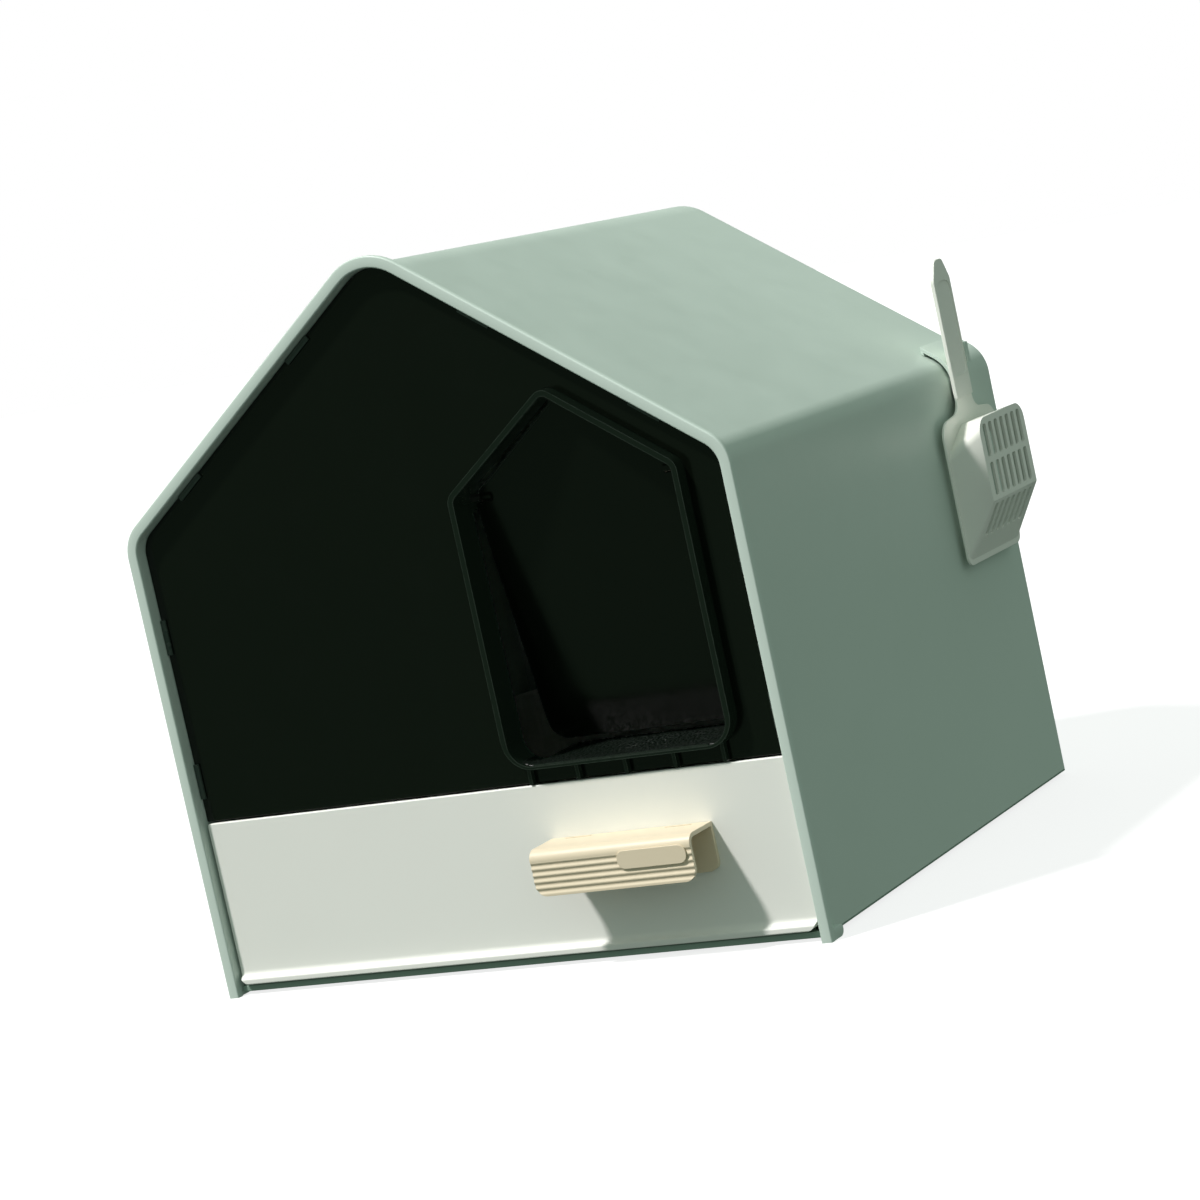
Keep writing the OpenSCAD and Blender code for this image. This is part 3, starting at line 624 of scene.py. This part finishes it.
# Where the scoop hangs, and how far it stands out from the holder
HANG_Y = FRONT + 371
HOLDER_FACE = hood_half(HANG_Y) + 4.2
SCOOP_OUT, SCOOP_Z = HOLDER_FACE + 1.6, 172.5
SCOOP_WALL = 1.8
BOWL_LEN, BOWL_D, BOWL_SLOPE, MOUTH_LIP = 97.0, 25.4, 41.5, 1.0
BEND = math.atan2(BOWL_D, BOWL_SLOPE - MOUTH_LIP)
RIM_HALF, RIM_R, RIM_OVER = 45.5, 7, 1.4
MOUTH_R, MOUTH_SHOULDER, MOUTH_SHOULDER_R, MOUTH_END, MOUTH_END_R = 6, 76, 8, 3, 3
FACE_HALF, FACE_TOP, FACE_R = 38.5, 98.5, 12
NECK_HALF, GRIP_HALF, GRIP_LEN = 13.0, 13.6, 111
# Where the rim turns into the shoulder, the neck, the wide end of the handle and its round tip
SHOULDER, NECK, GRIP_WIDE, GRIP_TIP = 2, 6, 97, 0.45
BAR_FROM, BAR_T = BOWL_LEN + 14, 3.0
CHANNEL_FROM, CHANNEL_TO, CHANNEL_IN, CHANNEL_Z = BAR_FROM + 16, BOWL_LEN + 96, 2.2, 2.1
# Slots in a row, their size, and their distances from the edges of the face and of the slope
SLOTS, SLOT_HALF, SLOT_R = 7, 2.8, 1.6
SLOT_MARGIN, SLOT_GAP, SLOT_LOW = 4.4, 3.8, 3
SLOPE_SLOT_FROM, SLOPE_SLOT_TO = 28, 3
SLOT_CUT = (-3.5, 2.5)


def hull(name, loops):
    """The convex hull of closed loops of points in millimetres."""
    bm = bmesh.new()
    for loop in loops:
        for p in loop:
            bm.verts.new(Vector(p) * MM)
    out = bmesh.ops.convex_hull(bm, input=bm.verts)
    loose = [e for e in out["geom_interior"] if isinstance(e, bmesh.types.BMVert)]
    bmesh.ops.delete(bm, geom=loose, context="VERTS")
    mesh = bpy.data.meshes.new(name)
    bm.to_mesh(mesh)
    bm.free()
    return link(name, mesh)


def bowl_hull(name, inset, below):
    """The bowl's form between its mouth and its slotted face, moved in by an inset."""
    m, f, top = RIM_HALF - RIM_OVER - inset, FACE_HALF - inset, BOWL_LEN - MOUTH_END - inset
    n, low = NECK_HALF - inset / 2, MOUTH_LIP + inset / math.sin(BEND)
    side = [(m, low), (m, MOUTH_SHOULDER), (n, top)]
    radii = [MOUTH_R - inset, MOUTH_SHOULDER_R, MOUTH_END_R]
    mouth = rounded([(-m, low)] + side + [(-n, top), (-m, MOUTH_SHOULDER)],
                    radii[:1] + radii + radii[:0:-1])
    bend, r = BOWL_SLOPE + inset * math.tan(BEND / 2), FACE_R - inset
    end = FACE_TOP - inset
    face = rounded([(-f, bend), (f, bend), (f, end), (-f, end)], [0.01, 0.01, r, r])
    return hull(name, [[(p.x, p.y, -below) for p in mouth], [(p.x, p.y, 0) for p in mouth],
                       [(p.x, p.y, BOWL_D - inset) for p in face]])


def scoop_outline():
    """The outline of the bowl's rim, the shoulders, the neck and the handle in one."""
    side = [(RIM_HALF, BOWL_LEN + SHOULDER), (NECK_HALF, BOWL_LEN + NECK),
            (GRIP_HALF, BOWL_LEN + GRIP_WIDE), (GRIP_HALF * GRIP_TIP, BOWL_LEN + GRIP_LEN)]
    radii = [13, 10, 8, 5]
    points = [(-RIM_HALF, 0), (RIM_HALF, 0)] + side + [(-x, y) for x, y in reversed(side)]
    return rounded(points, [RIM_R, RIM_R] + radii + radii[::-1])


def slot_boxes():
    """Cutters of two rows of slots in the face and of one row in the slope to the tip."""
    s = Shell()
    slope = math.hypot(BOWL_SLOPE - MOUTH_LIP, BOWL_D)
    low, high = BOWL_SLOPE + SLOT_LOW, FACE_TOP - SLOT_MARGIN
    length = (high - low - SLOT_GAP) / 2
    pitch = (2 * FACE_HALF - 2 * SLOT_MARGIN) / SLOTS
    turn = Matrix.Translation((0, MOUTH_LIP, 0)) @ Matrix.Rotation(BEND, 4, "X")
    lift = Matrix.Translation((0, 0, BOWL_D))
    for place, y0, y1 in ((lift, low, low + length), (lift, high - length, high),
                          (turn, slope - SLOPE_SLOT_FROM, slope - SLOPE_SLOT_TO)):
        for c in range(SLOTS):
            x = (c - SLOTS // 2) * pitch
            x0, x1 = x - SLOT_HALF, x + SLOT_HALF
            outline = rounded([(x0, y0), (x1, y0), (x1, y1), (x0, y1)], [SLOT_R] * 4, 4)
            rings = [s.add([place @ Vector((p.x, p.y, z)) for p in outline]) for z in SLOT_CUT]
            s.strip(rings, closed=True)
            s.face(rings[0][::-1])
            s.face(rings[1])
    return s.object("slots")


def build_scoop():
    """The bowl, its rim and the thicker bar of the handle, hollowed, slotted and grooved."""
    body = bowl_hull("scoop_form", 0, 0)
    outline = scoop_outline()
    rim = plate("rim", outline, SCOOP_WALL, bevel=0.5)
    bar = plate("bar", [p for p in outline if p.y > BAR_FROM], BAR_T, bevel=0.7, n=3)
    join(body, [rim, bar], "UNION")
    inner = bowl_hull("inner", SCOOP_WALL, 1)
    half = GRIP_HALF - CHANNEL_IN
    channel = rounded([(-half, CHANNEL_FROM), (half, CHANNEL_FROM), (half, CHANNEL_TO),
                       (-half, CHANNEL_TO)], [5, 5, 8, 8])
    groove = plate("groove", channel, BAR_T, bevel=0.6, lift=CHANNEL_Z)
    join(body, [inner, slot_boxes(), groove], "DIFFERENCE")
    return body


scoop = build_scoop()
stand = Matrix(((0, 0, 1, SCOOP_OUT), (1, 0, 0, HANG_Y), (0, 1, 0, SCOOP_Z), (0, 0, 0, 1)))
for i in range(3):
    stand[i][3] *= MM
scoop.data.transform(stand)
smooth(scoop.data, 30)
paint(scoop, SCOOP)
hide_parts("scoop")
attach(scoop, "scoop")
modify(scoop, 0.35, segments=2, angle=35, clean=True)

# Scoop holder

# The strap's ends, and how far its outside, its inside and its feet stand off the hood
STRAP_FROM, STRAP_TO = HANG_Y - 4.5, 213.0
STRAP_LOW, STRAP_ROOF, STRAP_ROUND = 264.0, 16.0, 26
STRAP_OUTER, STRAP_INNER, STRAP_TOUCH, STRAP_FOOT = 4.6, 2.0, 0.3, 2.4
FINGER_X = (HOLDER_FACE - 10, HOLDER_FACE + 5.2)
FINGER_Y = (HANG_Y + 14.2, HANG_Y + 18.7)
FINGER_HIGH = 14


def strap_section(y, out):
    """The hood's right section moved out, from the strap's roof end to its lower end."""
    half, eave = hood_half(y), hood_eave(y)
    path = [p for p in hood_path(y, -out, STRAP_LOW, 16) if p.x > half - STRAP_ROUND]
    x = half - STRAP_ROOF
    first = next(i for i, p in enumerate(path) if p.x > x)
    ridge = eave + out * LEAN + (half + out) * math.tan(PITCH)
    return [Vector((x, ridge - x * math.tan(PITCH)))] + path[first:]


def build_holder():
    """A strap round the eave that stands off the hood between a foot on the roof and one below."""
    s = Shell()
    up = Vector((0, STRAP_FOOT))

    def along(path):
        """The point a foot's length along a path."""
        return path[0].lerp(path[1], STRAP_FOOT / (path[1] - path[0]).length)

    rings = []
    for y in (STRAP_FROM, STRAP_TO):
        outer, inner, touch = (strap_section(y, out)
                               for out in (STRAP_OUTER, STRAP_INNER, STRAP_TOUCH))
        ring = [*outer, touch[-1], touch[-1] + up, inner[-1] + up, *reversed(inner[1:-1]),
                along(inner), along(touch), touch[0]]
        rings.append(s.add(upright(ring, y)))
    s.strip(rings, closed=True)
    s.face(rings[0])
    s.face(rings[1][::-1])
    return s


holder = build_holder().object("holder_form")
finger = Shell()
finger.box((FINGER_X[0], FINGER_Y[0], hood_eave(HANG_Y)),
           (FINGER_X[1], FINGER_Y[1], hood_eave(HANG_Y) + FINGER_HIGH))
join(holder, [finger.object("finger")], "UNION")
paint(holder, MINT)
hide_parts("scoop_holder")
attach(holder, "house")
modify(holder, 0.7, angle=40)

# The hood in place, and the CAD nodes that are kept

hood = build_hood().object("hood_form")
paint(hood, MINT)
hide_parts("hood_shell")
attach(hood, "house")

for name, width in (("front_panel", 0.5), ("panel_clips_left", 0.3), ("panel_clips_right", 0.3),
                    ("entry_frame", 0.8), ("swing_flap", 0.7), ("base_pan", 0.6),
                    ("rail_left", 0.3), ("rail_right", 0.3), ("drawer_tray", 0.6),
                    ("label_plate", 0.3)):
    modify(NODES[name], width, clean=name == "entry_frame")

# Stage: floor, lights and camera

FLOOR_HALF = 6000
FLOOR_GLOW = 0.8
# The world's strength from below to above, blended between two heights of the unit sphere
AMBIENT_BELOW, AMBIENT_ABOVE = 0.138, 0.48
HORIZON = 0.35
MIRRORED = 0.13
KEY_FROM = Vector((-0.346, -0.432, 0.833))
KEY_POWER, KEY_ANGLE, KEY_COLOUR = 3.52, 4.5, (1, 0.965, 0.965)
CAMERA_AT = (1.4462316, -2.4962724, 0.5640176)
CAMERA_RIGHT = Vector((0.85769854, 0.46877218, -0.21120099))
CAMERA_UP = Vector((0.12281608, 0.2120875, 0.9695025))
CAMERA_AHEAD = Vector((-0.49926889, 0.85747976, -0.12433438))
CAMERA_LENS = 127.17


def build_floor():
    """A grey paper floor that glows almost white and takes a soft shadow."""
    s = Shell()
    half = FLOOR_HALF
    s.face(s.add([(-half, -half, 0), (half, -half, 0), (half, half, 0), (-half, half, 0)]))
    floor = s.object("studio_floor")
    mat = bpy.data.materials.new("floor_paper")
    mat.use_nodes = True
    nodes, links = mat.node_tree.nodes, mat.node_tree.links
    shader = nodes["Principled BSDF"]
    shader.inputs["Roughness"].default_value = 0.85
    shader.inputs["Specular IOR Level"].default_value = 0.15
    where = nodes.new("ShaderNodeTexCoord").outputs["Object"]
    clouds = nodes.new("ShaderNodeTexNoise")
    clouds.inputs["Scale"].default_value = 3
    links.new(where, clouds.inputs["Vector"])
    tone = nodes.new("ShaderNodeMix")
    tone.data_type = "RGBA"
    tone.inputs[6].default_value = (0.3, 0.3, 0.3, 1)
    tone.inputs[7].default_value = (0.34, 0.34, 0.34, 1)
    links.new(clouds.outputs["Fac"], tone.inputs[0])
    links.new(tone.outputs[2], shader.inputs["Base Color"])
    shader.inputs["Emission Color"].default_value = (1, 1, 1, 1)
    shader.inputs["Emission Strength"].default_value = FLOOR_GLOW
    paint(floor, mat)
    floor.visible_diffuse = False
    floor.visible_glossy = False


def look_along(direction):
    """The turn of a light or camera that looks along a direction."""
    return direction.to_track_quat("-Z", "Y").to_euler()


def build_key():
    """The sun that casts the photograph's shadows."""
    data = bpy.data.lights.new("key", "SUN")
    data.energy = KEY_POWER
    data.angle = math.radians(KEY_ANGLE)
    data.color = KEY_COLOUR
    key = bpy.data.objects.new("key", data)
    key.rotation_euler = look_along(-KEY_FROM)
    bpy.context.scene.collection.objects.link(key)


def build_back_fill():
    """A weak light for the back of the part, which the photograph doesn't show."""
    where, target = Vector((-1.4, 2.8, 0.7)), Vector((0, 0, 0.2))
    data = bpy.data.lights.new("back_fill", "AREA")
    data.shape = "RECTANGLE"
    data.size, data.size_y = 1.8, 1.0
    data.energy = 10
    fill = bpy.data.objects.new("back_fill", data)
    fill.location = where
    fill.rotation_euler = look_along(target - where)
    fill.visible_glossy = False
    bpy.context.scene.collection.objects.link(fill)


def build_camera():
    """The camera that was fitted to the photograph."""
    data = bpy.data.cameras.new("photo_camera")
    data.sensor_width = 36
    data.lens = CAMERA_LENS
    data.clip_end = 50
    obj = bpy.data.objects.new("photo_camera", data)
    turn = Matrix((CAMERA_RIGHT, CAMERA_UP, -CAMERA_AHEAD)).transposed()
    obj.matrix_world = Matrix.Translation(CAMERA_AT) @ turn.to_4x4()
    bpy.context.scene.collection.objects.link(obj)
    bpy.context.scene.camera = obj


def build_world():
    """Dim cool light all round, dimmer in mirrored rays, with a white backdrop for the camera."""
    world = bpy.data.worlds.new("studio")
    bpy.context.scene.world = world
    world.use_nodes = True
    nodes, links = world.node_tree.nodes, world.node_tree.links
    path = nodes.new("ShaderNodeLightPath")

    def background(colour, strength):
        n = nodes.new("ShaderNodeBackground")
        n.inputs["Color"].default_value = (*colour, 1)
        n.inputs["Strength"].default_value = strength
        return n.outputs[0]

    def choose(ray, no, yes):
        n = nodes.new("ShaderNodeMixShader")
        links.new(path.outputs[ray], n.inputs[0])
        links.new(no, n.inputs[1])
        links.new(yes, n.inputs[2])
        return n.outputs[0]

    where = nodes.new("ShaderNodeTexCoord").outputs["Generated"]
    axes = nodes.new("ShaderNodeSeparateXYZ")
    links.new(where, axes.inputs[0])
    rise = nodes.new("ShaderNodeMapRange")
    for i, x in enumerate((-HORIZON, HORIZON, AMBIENT_BELOW, AMBIENT_ABOVE)):
        rise.inputs[i + 1].default_value = x
    links.new(axes.outputs["Z"], rise.inputs[0])
    room = nodes["Background"]
    room.inputs["Color"].default_value = (0.82, 1.0, 0.9, 1)
    links.new(rise.outputs[0], room.inputs["Strength"])
    mirrored = choose("Is Glossy Ray", room.outputs[0], background((0.62, 1.0, 0.66), MIRRORED))
    seen = choose("Is Camera Ray", mirrored, background((1, 1, 1), 1.0))
    links.new(seen, nodes["World Output"].inputs["Surface"])


build_floor()
build_camera()
build_world()
build_key()
build_back_fill()
view = bpy.context.scene.view_settings
view.view_transform = "Standard"
view.look = "None"
